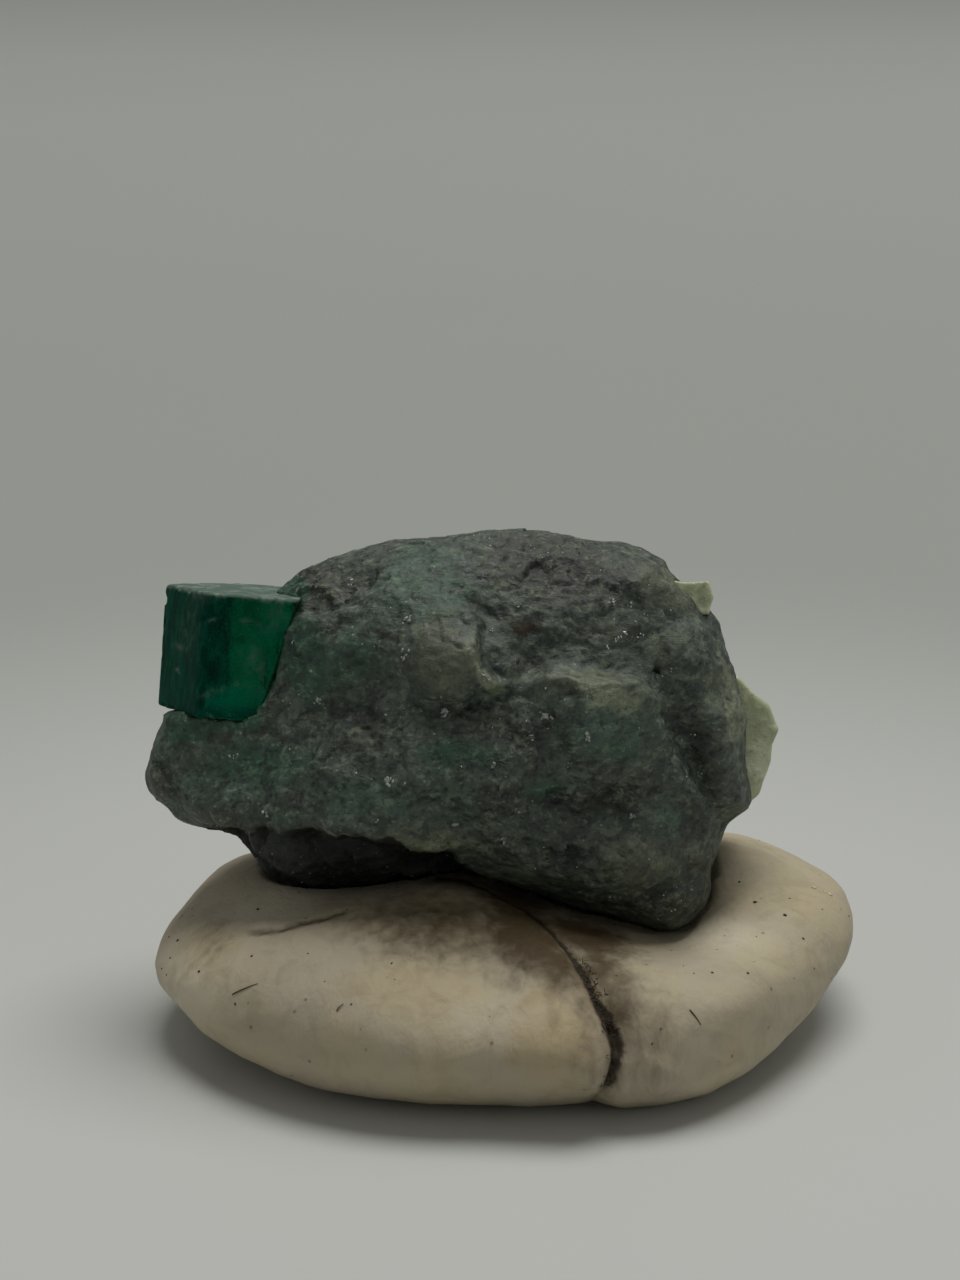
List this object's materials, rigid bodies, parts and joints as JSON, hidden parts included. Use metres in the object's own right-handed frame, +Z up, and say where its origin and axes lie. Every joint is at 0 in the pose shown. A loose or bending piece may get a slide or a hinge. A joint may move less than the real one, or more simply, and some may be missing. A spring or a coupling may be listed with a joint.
{
  "type": "raw emerald crystal in matrix on putty mount",
  "caption": "Hexagonal emerald stub seated in a dark schist matrix with pale side crystals, on a kneaded lump of mineral putty.",
  "frame": {"origin": "centre of the flat underside of the putty, on the surface that the specimen stands on", "axes": "+Z up from that surface; +X to the right along the longest extent, with the emerald at -X; the display front faces -Y"},
  "size_m": [0.0307, 0.0258, 0.0213],
  "materials": {
    "matrix_stone": "broken, fine-grained and mottled",
    "emerald": "natural crystal faces, slightly etched",
    "pale_crystal": "waxy, pale yellow-green",
    "putty": "matt, kneaded, dirty along the fold"
  },
  "bodies": {
    "root": {"matrix_rock": "matrix_stone", "emerald_crystal": "emerald", "pale_crystal_upper": "pale_crystal", "pale_crystal_side": "pale_crystal", "putty_mount": "putty"}
  },
  "joints": []
}
